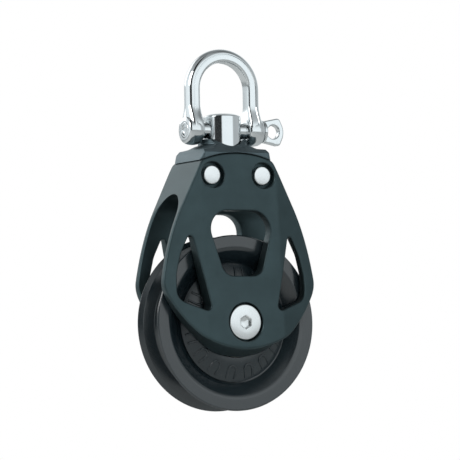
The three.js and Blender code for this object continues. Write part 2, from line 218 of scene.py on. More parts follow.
# ------------------------------------------------------------------ shells
class Shell:
    """Points in millimetres and faces, on their way to one mesh."""

    def __init__(self) -> None:
        """Starts an empty shell."""
        self.points: list[Spot] = []
        self.faces: list[tuple[int, ...]] = []
        self.coats: list[int] = []

    def ring(self, points: Iterable[Sequence[float]]) -> list[int]:
        """Adds a row of points.

        Args:
            points: The points, in millimetres.

        Returns:
            Their numbers.
        """
        start = len(self.points)
        self.points.extend((p[0], p[1], p[2]) for p in points)
        return list(range(start, len(self.points)))

    def face(self, corners: Sequence[int], coat: int = 0) -> None:
        """Adds one face.

        Args:
            corners: The numbers of its points.
            coat: The material slot.
        """
        self.faces.append(tuple(corners))
        self.coats.append(coat)

    def skin(self, rings: Sequence[Sequence[int]], closed: bool = True, coat: int = 0) -> None:
        """Joins each ring of points to the next with four-sided faces.

        Args:
            rings: Rings with the same number of points.
            closed: Whether each ring closes on itself.
            coat: The material slot.
        """
        for first, second in zip(rings, rings[1:]):
            for index in range(len(first) if closed else len(first) - 1):
                after = (index + 1) % len(first)
                self.face((first[index], first[after], second[after], second[index]), coat)

    def fill(
        self,
        rings: Sequence[Sequence[int]],
        height: Callable[[float, float], float],
        lines: Sequence[Sequence[Flat]] = (),
        coat: int = 0,
    ) -> None:
        """Covers the material between closed rings, as seen along Y, with triangles.

        Args:
            rings: The outer ring first and then the rings of its holes.
            height: Gives y at an x and z.
            lines: Creases and contour lines that triangles must follow.
            coat: The material slot.
        """
        owners = [number for ring in rings for number in ring]
        flat = [(self.points[number][0], self.points[number][2]) for number in owners]
        edges: list[tuple[int, int]] = []
        start = 0
        for ring in rings:
            edges += [(start + i, start + (i + 1) % len(ring)) for i in range(len(ring))]
            start += len(ring)
        for line in lines:
            edges += [(len(flat) + i, len(flat) + i + 1) for i in range(len(line) - 1)]
            flat += line
        spots, _, faces, origins, _, _ = delaunay_2d_cdt([Vector(p) for p in flat], edges, [], 0, 1e-6)
        numbers = []
        for spot, origin in zip(spots, origins):
            known = [owners[o] for o in origin if o < len(owners)]
            numbers.append(known[0] if known else self.ring([(spot.x, height(spot.x, spot.y), spot.y)])[0])
        loops = [np.array([(self.points[n][0], self.points[n][2]) for n in ring]) for ring in rings]
        middles = np.array([tuple(sum((spots[c] for c in f), Vector((0, 0))) / len(f)) for f in faces])
        for corners, inside in zip(faces, within(middles, loops)):
            if inside:
                self.face([numbers[c] for c in corners], coat)

    def add(self, other: "Shell") -> None:
        """Adds every point and face of another shell.

        Args:
            other: The shell, which stays as it is.
        """
        start = len(self.points)
        self.points += other.points
        self.faces += [tuple(start + corner for corner in face) for face in other.faces]
        self.coats += other.coats

    def reflect(self, axis: int) -> None:
        """Adds a mirror image across the plane through the axle that stands square to an axis.

        Args:
            axis: 0, 1 or 2 for X, Y or Z.
        """
        image = Shell()
        image.points = [tuple(-c if i == axis else c for i, c in enumerate(p)) for p in self.points]
        image.faces = [tuple(reversed(face)) for face in self.faces]
        image.coats = list(self.coats)
        self.add(image)

    def mesh(self, name: str, weld: float = 0.002) -> bpy.types.Mesh:
        """Turns the shell into a mesh, still in millimetres.

        Args:
            name: The mesh's name.
            weld: Points nearer than this become one.

        Returns:
            The mesh, closed where the shell is and facing outwards.
        """
        mesh = bpy.data.meshes.new(name)
        mesh.from_pydata(self.points, [], self.faces)
        mesh.polygons.foreach_set("material_index", self.coats)
        form = bmesh.new()
        form.from_mesh(mesh)
        bmesh.ops.remove_doubles(form, verts=form.verts, dist=weld)
        bmesh.ops.dissolve_degenerate(form, dist=weld / 2, edges=form.edges)
        bmesh.ops.recalc_face_normals(form, faces=form.faces)
        form.to_mesh(mesh)
        form.free()
        return mesh


def turned(
    profile: Sequence[Flat],
    axis: Axis = Axis.Y,
    centre: Spot = (0.0, 0.0, 0.0),
    sides: int = 96,
    closed: bool = True,
) -> Shell:
    """Turns a profile about an axis, as on a lathe.

    Args:
        profile: Points as radius and place along the axis.
        axis: The axis.
        centre: A point on the axis.
        sides: The number of faces round the piece.
        closed: Whether the last point joins the first.

    Returns:
        The turned shell.
    """
    shell = Shell()
    rings = []
    for radius, along in profile:
        spots = []
        for index in range(sides):
            angle = 2 * math.pi * index / sides
            a, b = radius * math.cos(angle), radius * math.sin(angle)
            place = {Axis.X: (along, a, b), Axis.Y: (a, along, b), Axis.Z: (a, b, along)}[axis]
            spots.append([offset + part for offset, part in zip(centre, place)])
        rings.append(shell.ring(spots))
    shell.skin(rings + [rings[0]] if closed else rings)
    return shell


def prism(outline: Sequence[Flat], low: float, high: float, along: Axis = Axis.Y) -> Shell:
    """Stands a solid on an outline.

    Args:
        outline: Points in X and Z for a solid along Y, or in Y and Z for one along X.
        low: Where it starts.
        high: Where it ends.
        along: Axis.X or Axis.Y.

    Returns:
        The closed shell.
    """
    shell = Shell()
    ends = []
    for reach in (low, high):
        spots = [(u, reach, v) if along is Axis.Y else (reach, u, v) for u, v in outline]
        ends.append(shell.ring(spots))
    shell.skin(ends)
    for end in ends:
        shell.face(end)
    return shell


# ------------------------------------------------------------------ meshes and objects
def bench_object(mesh: bpy.types.Mesh) -> bpy.types.Object:
    """Makes a passing object that holds a mesh while modifiers work on it.

    Args:
        mesh: The mesh.

    Returns:
        The object.
    """
    piece = bpy.data.objects.new("bench", mesh)
    bpy.context.scene.collection.objects.link(piece)
    return piece


def worked(piece: bpy.types.Object) -> bpy.types.Mesh:
    """Applies an object's modifiers and removes the object.

    Args:
        piece: The object.

    Returns:
        The mesh that the modifiers make.
    """
    graph = bpy.context.evaluated_depsgraph_get()
    mesh = bpy.data.meshes.new_from_object(piece.evaluated_get(graph))
    bpy.data.objects.remove(piece)
    return mesh


def carve(mesh: bpy.types.Mesh, cutters: Sequence[Shell], operation: str = "DIFFERENCE") -> bpy.types.Mesh:
    """Cuts shells out of a mesh one by one.

    Args:
        mesh: The mesh to work on.
        cutters: The shells.
        operation: DIFFERENCE, INTERSECT or UNION.

    Returns:
        A new mesh.
    """
    for cutter in cutters:
        piece = bench_object(mesh)
        tool = bench_object(cutter.mesh("cutter"))
        modifier = piece.modifiers.new("cut", "BOOLEAN")
        modifier.operation = operation
        modifier.solver = "EXACT"
        modifier.object = tool
        mesh = worked(piece)
        bpy.data.objects.remove(tool)
    return mesh


def forged(mesh: bpy.types.Mesh, grain: float, passes: int, keep: float) -> bpy.types.Mesh:
    """Gives a mesh the soft edges of a forging.

    Args:
        mesh: The sharp mesh.
        grain: The spacing of the remeshed points, in millimetres.
        passes: How often the surface is smoothed.
        keep: The share of faces that stays.

    Returns:
        A new mesh.
    """
    piece = bench_object(mesh)
    remesh = piece.modifiers.new("remesh", "REMESH")
    remesh.mode = "VOXEL"
    remesh.voxel_size = grain
    smooth = piece.modifiers.new("smooth", "SMOOTH")
    smooth.factor = 0.5
    smooth.iterations = passes
    thin = piece.modifiers.new("thin", "DECIMATE")
    thin.ratio = keep
    return worked(piece)


def set_down(
    mesh: bpy.types.Mesh,
    name: str,
    body: str,
    coats: Sequence[bpy.types.Material],
    replaces: Sequence[str] = (),
    crease_deg: float = 35.0,
) -> bpy.types.Object:
    """Places a finished mesh in the row frame as a piece of the block.

    Args:
        mesh: The mesh, in millimetres from the axle.
        name: The piece's name.
        body: The body that it moves with.
        coats: Its materials, one for each slot that its faces use.
        replaces: The CAD nodes that it stands for.
        crease_deg: Edges sharper than this stay crisp.

    Returns:
        The piece.
    """
    mesh.transform(row_matrix())
    mesh.name = name
    mesh.shade_smooth()
    mesh.set_sharp_from_angle(angle=math.radians(crease_deg))
    mesh.materials.clear()
    for coat in coats:
        mesh.materials.append(coat)
    piece = bpy.data.objects.new(name, mesh)
    bpy.context.scene.collection.objects.link(piece)
    even = piece.modifiers.new("even_shading", "WEIGHTED_NORMAL")
    even.keep_sharp = True
    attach(piece, body)
    if replaces:
        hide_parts(*replaces)
    LOG.info("%s: %d faces on %s", name, len(mesh.polygons), body)
    return piece


# ------------------------------------------------------------------ finishes
def linear(hex_color: str) -> tuple[float, float, float, float]:
    """Converts an sRGB hex colour.

    Args:
        hex_color: A colour such as #3f4e51.

    Returns:
        Linear red, green, blue and alpha.
    """
    parts = [int(hex_color[i : i + 2], 16) / 255 for i in (1, 3, 5)]
    red, green, blue = [p / 12.92 if p <= 0.04045 else ((p + 0.055) / 1.055) ** 2.4 for p in parts]
    return (red, green, blue, 1.0)


def add_node(
    tree: bpy.types.NodeTree,
    kind: str,
    settings: dict[str | int, object] | None = None,
    links: dict[str | int, bpy.types.NodeSocket] | None = None,
) -> bpy.types.Node:
    """Adds one node with its settings and links.

    Args:
        tree: The node tree.
        kind: The node's type name.
        settings: Values for its properties, or for its inputs by name or number.
        links: The output that feeds each input, by name or number.

    Returns:
        The node.
    """
    node = tree.nodes.new(kind)
    for key, value in (settings or {}).items():
        if isinstance(key, int) or key in node.inputs:
            node.inputs[key].default_value = value
        else:
            setattr(node, key, value)
    for key, source in (links or {}).items():
        tree.links.new(source, node.inputs[key])
    return node


@dataclass(frozen=True)
class Finish:
    """A colour that varies in broad patches, and a fine grain that catches the light."""

    name: str
    color: str
    variation: float
    roughness: float
    metallic: float
    grain_mm: float
    grain_depth_mm: float
    mottle_mm: float = 5.0
    gloss: float = 0.5

    def grain(self, tree: bpy.types.NodeTree, place: bpy.types.NodeSocket) -> bpy.types.NodeSocket:
        """Adds the surface's grain.

        Args:
            tree: The node tree.
            place: The coordinates.

        Returns:
            A height from 0 to 1.
        """
        noise = add_node(
            tree,
            "ShaderNodeTexNoise",
            {"Scale": 1 / (self.grain_mm * MM), "Detail": 3.0, "Roughness": 0.6},
            {"Vector": place},
        )
        return noise.outputs["Fac"]

    def base(self, tree: bpy.types.NodeTree, place: bpy.types.NodeSocket) -> bpy.types.NodeSocket:
        """Adds the colour, a little lighter and darker in broad patches.

        Args:
            tree: The node tree.
            place: The coordinates.

        Returns:
            The colour.
        """
        patches = add_node(
            tree,
            "ShaderNodeTexNoise",
            {"Scale": 1 / (self.mottle_mm * MM), "Detail": 4.0, "Roughness": 0.55},
            {"Vector": place},
        )
        red, green, blue, _ = linear(self.color)
        low, high = 1 - self.variation, 1 + self.variation
        ramp = add_node(tree, "ShaderNodeValToRGB", {}, {"Fac": patches.outputs["Fac"]})
        ramp.color_ramp.elements[0].position = 0.3
        ramp.color_ramp.elements[1].position = 0.7
        ramp.color_ramp.elements[0].color = (red * low, green * low, blue * low, 1)
        ramp.color_ramp.elements[1].color = (red * high, green * high, blue * high, 1)
        return ramp.outputs["Color"]

    def material(self) -> bpy.types.Material:
        """Builds the material.

        Returns:
            The material, made of nodes.
        """
        material = bpy.data.materials.new(self.name)
        material.use_nodes = True
        tree = material.node_tree
        tree.nodes.clear()
        place = add_node(tree, "ShaderNodeTexCoord").outputs["Object"]
        grain = self.grain(tree, place)
        spread = add_node(
            tree,
            "ShaderNodeMapRange",
            {"To Min": self.roughness * 0.85, "To Max": self.roughness * 1.15},
            {"Value": grain},
        )
        bump = add_node(
            tree,
            "ShaderNodeBump",
            {"Strength": 1.0, "Distance": self.grain_depth_mm * MM},
            {"Height": grain},
        )
        shader = add_node(
            tree,
            "ShaderNodeBsdfPrincipled",
            {"Metallic": self.metallic, "Specular IOR Level": self.gloss},
            {
                "Base Color": self.base(tree, place),
                "Roughness": spread.outputs["Result"],
                "Normal": bump.outputs["Normal"],
            },
        )
        add_node(tree, "ShaderNodeOutputMaterial", {}, {"Surface": shader.outputs["BSDF"]})
        return material


@dataclass(frozen=True)
class TurnedFinish(Finish):
    """A finish left by a lathe: fine rings about the axle, in place of the plain grain."""

    ring_mm: float = 0.35

    def grain(self, tree: bpy.types.NodeTree, place: bpy.types.NodeSocket) -> bpy.types.NodeSocket:
        """Returns the height of the turning marks.

        Args:
            tree: The node tree.
            place: The coordinates.

        Returns:
            A height from 0 to 1.
        """
        centred = add_node(
            tree,
            "ShaderNodeMapping",
            {"Location": (0.0, 0.0, -AXLE_HEIGHT)},
            {"Vector": place},
        )
        rings = add_node(
            tree,
            "ShaderNodeTexWave",
            {
                "wave_type": "RINGS",
                "rings_direction": "Y",
                "Scale": 0.31 / (self.ring_mm * MM),
                "Distortion": 0.6,
                "Detail": 2.0,
            },
            {"Vector": centred.outputs["Vector"]},
        )
        return rings.outputs["Fac"]


# Hard-anodised aluminium, hot forged and bead blasted: dark, faintly blue-green, and satin rather than shiny.
FRAME_COAT = Finish("hard_anodised_forging", "#3f4e51", 0.10, 0.40, 0.80, 0.22, 0.006, 6.0)
# The same forging along its rounded edges, which tumbling has left smoother; its paler colour is a painted
# highlight, so the edges draw a light line.
EDGE_HIGHLIGHT_COAT = Finish("forging_edge_painted_highlight", "#55656a", 0.12, 0.30, 0.85, 0.30, 0.003, 4.0)
# Clear-dyed anodised aluminium, forged: a cooler and lighter grey than the frame.
HEAD_COAT = Finish("grey_anodised_forging", "#5a686d", 0.08, 0.40, 0.80, 0.22, 0.005, 5.0)
# Stainless steel, forged and electropolished: bright, with a faint orange-peel ripple in its reflections.
BRIGHT_STEEL = Finish("electropolished_stainless", "#e4e7e8", 0.03, 0.12, 1.0, 1.60, 0.003, 8.0)
# Stainless steel, turned and faced: bright and even, with fine rings that spread the highlight.
FACED_STEEL = TurnedFinish("faced_stainless", "#eceeee", 0.03, 0.24, 1.0, 0.4, 0.002, ring_mm=0.34)
# Acetal, moulded and glass filled: near black with a soft bloom, so the rim looks grey in a broad light.
SHEAVE_COAT = Finish("moulded_filled_acetal", "#1d272c", 0.08, 0.20, 0.0, 0.35, 0.002, 5.0, 1.0)
# Acetal, moulded in a plainer tool: the hub covers shine a little less than the sheave.
COVER_COAT = Finish("moulded_gloss_acetal", "#1f2a2f", 0.06, 0.26, 0.0, 0.40, 0.002, 4.0, 0.7)
# Natural acetal, moulded: milky white and slightly waxy.
WHITE_COAT = Finish("natural_acetal", "#e6e4dc", 0.04, 0.38, 0.0, 0.30, 0.002, 3.0)
# Filament-wound glass and epoxy: straw brown with a fibre grain.
SLEEVE_COAT = Finish("wound_fibre_composite", "#8a7a50", 0.18, 0.55, 0.0, 0.25, 0.010, 1.5)
# Seamless studio paper: matt and nearly white.
PAPER = Finish("studio_paper", "#f4f4f2", 0.01, 0.9, 0.0, 3.0, 0.01, 60.0)


class Coats:
    """Every material of the block, built once."""

    def __init__(self) -> None:
        """Builds the materials."""
        self.frame = FRAME_COAT.material()
        # The edge coat's paler colour is a painted highlight along the rounded edges.
        self.edge = EDGE_HIGHLIGHT_COAT.material()
        self.head = HEAD_COAT.material()
        self.bright = BRIGHT_STEEL.material()
        self.faced = FACED_STEEL.material()
        self.sheave = SHEAVE_COAT.material()
        self.cover = COVER_COAT.material()
        self.white = WHITE_COAT.material()
        self.sleeve = SLEEVE_COAT.material()
        self.paper = PAPER.material()


# ------------------------------------------------------------------ the forged frame
@dataclass
class ForgedFrame:
    """The one-piece frame: two windowed cheeks joined over the sheave by a crown."""

    coats: Coats
    spine_y: float = 11.1
    spine_taper: float = 0.072
    spine_half_width: float = 11.0
    bar_slope: float = 0.206
    crease: float = 0.5
    inner_y: float = 6.2
    arch_z: float = 26.8
    bottom_z: float = -8.7
    chin_slope: float = 0.352
    chin_top_z: float = -2.5
    edge_round: float = 0.55
    window_round: float = 0.45
    inner_round: float = 0.35
    shoulder: Flat = (10.4, 41.2)
    crown_z: float = 43.2
    axle_seat_radius: float = 4.9
    axle_seat_y: float = 8.9
    axle_hole_radius: float = 3.8
    pin_spot: Flat = (7.26, 37.5)
    pin_seat_radius: float = 3.3
    pin_seat_y: float = 6.5

    def outer(self, x: float, z: float) -> float:
        """Finds the cheek's face: a flat spine and bars that fall away from it.

        Args:
            x: Across the cheek.
            z: The height.

        Returns:
            How far out the face stands.
        """
        past = abs(x) - self.spine_half_width
        if past > self.crease:
            fall = past
        elif past < -self.crease:
            fall = 0.0
        else:
            fall = (past + self.crease) ** 2 / (4 * self.crease)
        return self.spine_y - self.spine_taper * z - self.bar_slope * fall

    def inner(self, z: float) -> float:
        """Returns how far out the cheek's inside stands: flat, then an arch that closes over the sheave."""
        rise = max(0.0, z - self.arch_z)
        return math.sqrt(max(0.0, self.inner_y**2 - rise**2))

    def outline(self) -> list[Flat]:
        """Draws the outline of the cheeks and crown, from the bottom round by the right.

        Returns:
            The closed line.
        """
        x, z = self.shoulder
        bends = [
            ((6.2, -8.6), (9.8, -5.7)),
            ((17.2, -0.2), (20.9, 6.9)),
            ((21.9, 8.9), (21.7, 10.8)),
            ((20.0, 22.0), (15.9, 30.0)),
            ((13.4, 35.1), (x + 0.4, z - 0.9)),
            ((x, z), (x - 0.9, z + 0.35)),
            ((5.0, self.crown_z), (0.0, self.crown_z)),
        ]
        right = curve((0.0, self.bottom_z), bends) + [(0.0, self.crown_z)]
        left = [(-u, v) for u, v in reversed(right[1:-1])]
        return self.with_levels(right + left)

    def with_levels(self, loop: Sequence[Flat]) -> list[Flat]:
        """Adds points to a closed line at the levels where the arch bends most.

        Args:
            loop: The line.

        Returns:
            The line with its extra points.
        """
        top = self.arch_z + self.inner_y
        levels = [top - drop for drop in (1.6, 0.8, 0.35, 0.12, 0.0)]
        points: list[Flat] = []
        for index, (u, v) in enumerate(loop):
            points.append((u, v))
            after = loop[(index + 1) % len(loop)]
            crossed = [level for level in levels if min(v, after[1]) + 1e-6 < level < max(v, after[1]) - 1e-6]
            for level in sorted(crossed, reverse=after[1] < v):
                share = (level - v) / (after[1] - v)
                points.append((u + share * (after[0] - u), level))
        return points

    def windows(self) -> list[list[Flat]]:
        """Draws the middle window and the two side windows.

        Returns:
            The edge of each.
        """
        middle = rounded([(-10.3, 28.4, 4.9), (10.3, 28.4, 4.9), (5.2, 11.8, 3.4), (-5.2, 11.8, 3.4)], 12)
        side = rounded(
            [(14.1, 23.2, 0.7), (17.0, 17.2, 9.0), (18.2, 12.2, 7.0), (18.4, 5.9, 3.2), (9.2, 2.4, 1.1)],
            8,
        )
        return [spaced(middle, 0.7), spaced(side, 0.7), spaced(mirrored(side), 0.7)]

    def edge_rings(self, shell: Shell, loop: Sequence[Flat], rounding: float, crown: bool) -> list[list[int]]:
        """Builds the wall at one edge, with a rounded corner at its face and a smaller one inside.

        Args:
            shell: The shell that gets the points.
            loop: The edge, with the material on its left.
            rounding: The radius at the outer face.
            crown: Whether the wall of the edge closes over the top.

        Returns:
            The rings of point numbers, from the inside to the face.
        """
        moves = outward(loop)
        top = self.arch_z + self.inner_y
        drafts = [self.chin_slope * self.chin_share(v) if crown else 0.0 for _, v in loop]
        stack: list[list[Spot]] = []
        for lift in (0.0, 0.3, 1.0):
            spots = []
            for (u, v), move in zip(loop, moves):
                inside = 0.0 if crown and v > top - 1e-6 else self.inner(v)
                fade = min(1.0, max(0.0, (top - 1.5 - v) / 3.0))
                radius = self.inner_round * fade
                back = radius * (1 - math.sin(lift * math.pi / 2))
                out = inside + radius * (1 - math.cos(lift * math.pi / 2))
                spots.append((u - move.x * back, out, v - move.y * back))
            stack.append(spots)
        for turn in range(6):
            angle = math.pi / 2 * turn / 5
            back = rounding * (1 - math.cos(angle))
            spots = []
            for (u, v), move, draft in zip(loop, moves, drafts):
                rim = rounding + draft * (self.outer(u, v) - self.inner_y)
                face = self.outer(u - move.x * rim, v - move.y * rim)
                out = face - rounding * (1 - math.sin(angle))
                shift = back + draft * (out - self.inner_y)
                if turn == 5:
                    shift, out = rim, face
                spots.append((u - move.x * shift, out, v - move.y * shift))
            stack.append(spots)
        return [shell.ring(spots) for spots in stack]

    def chin_share(self, z: float) -> float:
        """Eases the chin's slope in.

        Args:
            z: The height of a point on the edge.

        Returns:
            The share of the slope there: all at the bottom, none above the chin.
        """
        share = min(1.0, max(0.0, (self.chin_top_z - z) / (self.chin_top_z - self.bottom_z)))
        return share * share * (3 - 2 * share)

    def half(self) -> Shell:
        """Builds the back half of the frame.

        Returns:
            A shell that is open along the middle plane of its crown.
        """
        shell = Shell()
        outline = self.edge_rings(shell, self.outline(), self.edge_round, True)
        windows = [self.edge_rings(shell, loop, self.window_round, False) for loop in self.windows()]
        for rings in [outline, *windows]:
            shell.skin(rings[:4])
            # The rounded edges take slot 1, the paler coat: a painted highlight.
            shell.skin(rings[3:], coat=1)
        seats = [self.axle_seat(shell), *[self.pin_seat(shell, hand) for hand in (-1, 1)]]
        faces = [outline[-1], *[rings[-1] for rings in windows], *[seat[-1] for seat in seats]]
        loops = [np.array([(shell.points[n][0], shell.points[n][2]) for n in ring]) for ring in faces]
        creases: list[list[Flat]] = []
        for hand in (-1, 1):
            for shift in (-self.crease, 0.0, self.crease):
                x = hand * (self.spine_half_width + shift)
                line = [(x, z / 2) for z in range(-16, 84)]
                creases += clear_lines(line, loops, 0.3)
        shell.fill(faces, self.outer, creases)
        top = self.arch_z + self.inner_y
        bottom = [n for n in outline[0] if shell.points[n][2] <= top + 1e-6]
        backs = [bottom, *[rings[0] for rings in windows], seats[0][0]]
        loops = [np.array([(shell.points[n][0], shell.points[n][2]) for n in ring]) for ring in backs]
        contours: list[list[Flat]] = []
        for drop in (6.2, 4.8, 3.6, 2.5, 1.6, 0.8, 0.35, 0.12):
            line = [(x / 2, top - drop) for x in range(-38, 39)]
            contours += clear_lines(line, loops, 0.25)
        shell.fill(backs, lambda x, z: self.inner(z), contours)
        return shell

    def axle_seat(self, shell: Shell) -> list[list[int]]:
        """Builds the stepped hole for the axle's head.

        Args:
            shell: The shell that gets the points.

        Returns:
            Its rings, from the inside out.
        """
        face = self.spine_y
        steps = [
            (self.axle_hole_radius, self.inner_y),
            (self.axle_hole_radius, self.axle_seat_y),
            (self.axle_seat_radius, self.axle_seat_y),
            (self.axle_seat_radius, face - 0.35),
            (self.axle_seat_radius + 0.06, face - 0.16),
            (self.axle_seat_radius + 0.2, face),
        ]
        rings = []
        for radius, y in steps:
            tilt = 1.0 if y > face - 0.3 else 0.0
            spots = [(u, y - tilt * self.spine_taper * v, v) for u, v in circle((0.0, 0.0), radius, 72)]
            rings.append(shell.ring(spots))
        shell.skin(rings[:4])
        # The seat's rounded rim takes slot 1, the paler coat: a painted highlight.
        shell.skin(rings[3:], coat=1)
        return rings

    def pin_seat(self, shell: Shell, hand: int) -> list[list[int]]:
        """Builds the blind hole for a cross pin's head.

        Args:
            shell: The shell that gets the points.
            hand: -1 for the left pin and 1 for the right.

        Returns:
            Its rings, from the floor out.
        """
        centre = (hand * self.pin_spot[0], self.pin_spot[1])
        steps = [(0.8, -1), (self.pin_seat_radius, -1), (self.pin_seat_radius, 0.35)]
        steps += [(self.pin_seat_radius + 0.08, 0.14), (self.pin_seat_radius + 0.25, 0.0)]
        rings = []
        for radius, depth in steps:
            spots = []
            for u, v in circle(centre, radius, 56):
                y = self.pin_seat_y if depth < 0 else self.outer(u, v) - depth
                spots.append((u, y, v))
            rings.append(shell.ring(spots))
        shell.skin(rings[:3])
        # The seat's rounded rim takes slot 1, the paler coat: a painted highlight.
        shell.skin(rings[2:], coat=1)
        shell.face(rings[0])
        return rings

    def build(self) -> None:
        """Builds the frame and places it."""
        shell = self.half()
        shell.reflect(1)
        mesh = shell.mesh("forged_frame_body")
        nut_way = turned([(0.0, 29.0), (4.6, 29.0), (4.6, 35.3), (0.0, 35.3)], Axis.Z, sides=48, closed=False)
        mesh = carve(mesh, [nut_way])
        # The second coat is the paler edge colour, a painted highlight on the rounded edges.
        coats = [self.coats.frame, self.coats.edge]
        set_down(mesh, "frame_forging", "frame", coats, ["forged_frame"], 40.0)


def spaced(points: Sequence[Flat], step: float) -> list[Flat]:
    """Adds points to a closed line, so that no two neighbours are too far apart.

    Args:
        points: The line.
        step: The widest gap, in millimetres.

    Returns:
        The line with its extra points.
    """
    result: list[Flat] = []
    for index, point in enumerate(points):
        here, after = Vector(point), Vector(points[(index + 1) % len(points)])
        count = max(1, math.ceil((after - here).length / step))
        result += [tuple(here.lerp(after, part / count)) for part in range(count)]
    return result


# ------------------------------------------------------------------ the head
@dataclass
class Head:
    """The head on the crown, with the seat of the swivel and the two cross pins that hold it."""

    coats: Coats
    top_z: float = 47.1
    foot_z: float = 41.32
    foot_x: float = 10.3
    tongue: Flat = (9.4, 5.5)
    corner_sum: float = 17.2
    half_y: float = 8.0
    ridge_half_y: float = 3.1
    post_hole: float = 5.2
    notch_radius: float = 4.3
    notch_z: float = 49.5
    pin_spot: Flat = (7.26, 37.5)
    pin_face_y: float = 7.9
    pin_radius: float = 2.45
    pin_head_depth: float = 1.1

    def front_outline(self) -> list[Flat]:
        """Draws the head as it is seen from the front.

        Returns:
            The closed line.
        """
        right = curve(
            (self.foot_x, self.foot_z),
            [
                ((9.9, 42.45), (9.4, 43.4)),
                ((8.7, 45.6), (6.6, self.top_z)),
                ((3.0, self.top_z), (0.0, self.top_z)),
            ],
            0.4,
        )
        foot = curve((-self.foot_x, self.foot_z), [((0.0, 45.32), (self.foot_x, self.foot_z))], 0.4)
        left = [(-u, v) for u, v in reversed(right[1:])]
        return right + [(0.0, self.top_z)] + left + foot

    def side_outline(self) -> list[Flat]:
        """Returns the head as it is seen from the side."""
        y, ridge = self.half_y, self.ridge_half_y
        return [(-y, 38.0), (y, 38.0), (y, 43.4), (ridge, self.top_z), (-ridge, self.top_z), (-y, 43.4)]

    def cutters(self) -> list[Shell]:
        """Shapes what is cut away from the head.

        Returns:
            The corners, the shackle's room, the swivel's seat and neck, and the notch.
        """
        corners = []
        for side in (FRONT, BACK):
            for hand in (-1, 1):
                shell = Shell()
                reach = self.corner_sum
                plan = [(reach, 0.0), (25.0, 0.0), (25.0, 25.0), (0.0, 25.0), (0.0, reach)]
                rings = [shell.ring([(hand * x, side * y, z) for x, y in plan]) for z in (35.0, 60.0)]
                shell.skin(rings)
                shell.face(rings[0])
                shell.face(rings[1])
                corners.append(shell)
        room = [(6.3, 60.0), (6.3, 45.6), (7.2, 45.4), (9.1, 44.5), (14.0, 44.2), (14.0, 60.0)]
        seat = [(0.0, 42.9), (self.post_hole, 42.9), (self.post_hole, 60.0), (0.0, 60.0)]
        neck = [(0.0, 35.0), (2.9, 35.0), (2.9, 50.0), (0.0, 50.0)]
        notch = [(0.0, -14.0), (self.notch_radius, -14.0), (self.notch_radius, 14.0), (0.0, 14.0)]
        return [
            *corners,
            turned(room, Axis.Z, sides=96),
            turned(seat, Axis.Z, sides=96, closed=False),
            turned(neck, Axis.Z, sides=48, closed=False),
            turned(notch, Axis.Y, (0.0, 0.0, self.notch_z), 96, closed=False),
        ]

    def build(self) -> None:
        """Builds the head and its cross pins."""
        cap = prism(self.front_outline(), -12.0, 12.0).mesh("head")
        cap = carve(cap, [prism(self.side_outline(), -20.0, 20.0, Axis.X)], "INTERSECT")
        x, y = self.tongue
        plug = prism([(-x, 39.0), (x, 39.0), (x, 42.6), (-x, 42.6)], -y, y)
        cap = carve(cap, [plug], "UNION")
        cap = forged(carve(cap, self.cutters()), 0.13, 5, 0.4)
        set_down(cap, "head_forging", "frame", [self.coats.head], ["head_piece"], 50.0)
        for word, hand in (("left", -1), ("right", 1)):
            shell = Shell()
            for side in (FRONT, BACK):
                shell.add(self.pin_head(hand, side))
            shank = [(0.0, -self.pin_face_y + 0.5), (1.5, -self.pin_face_y + 0.5)]
            shank += [(1.5, self.pin_face_y - 0.5), (0.0, self.pin_face_y - 0.5)]
            centre = (hand * self.pin_spot[0], 0.0, self.pin_spot[1])
            shell.add(turned(shank, Axis.Y, centre, 32, closed=False))
            name = f"cross_pin_{word}"
            set_down(shell.mesh(name), f"{name}_faced", "frame", [self.coats.faced], [name])

    def pin_head(self, hand: int, side: int) -> Shell:
        """Turns one head of a cross pin: flat, with a rounded rim.

        Args:
            hand: -1 for the left pin and 1 for the right.
            side: FRONT or BACK.

        Returns:
            The closed shell.
        """
        face, radius = self.pin_face_y, self.pin_radius
        under = face - self.pin_head_depth
        profile = rounded([(0, face, 0), (radius, face, 0.4), (radius, under, 0.15), (0, under, 0)], 5)
        placed = [(r, side * y) for r, y in profile]
        centre = (hand * self.pin_spot[0], 0.0, self.pin_spot[1])
        return turned(placed, Axis.Y, centre, 64, closed=False)


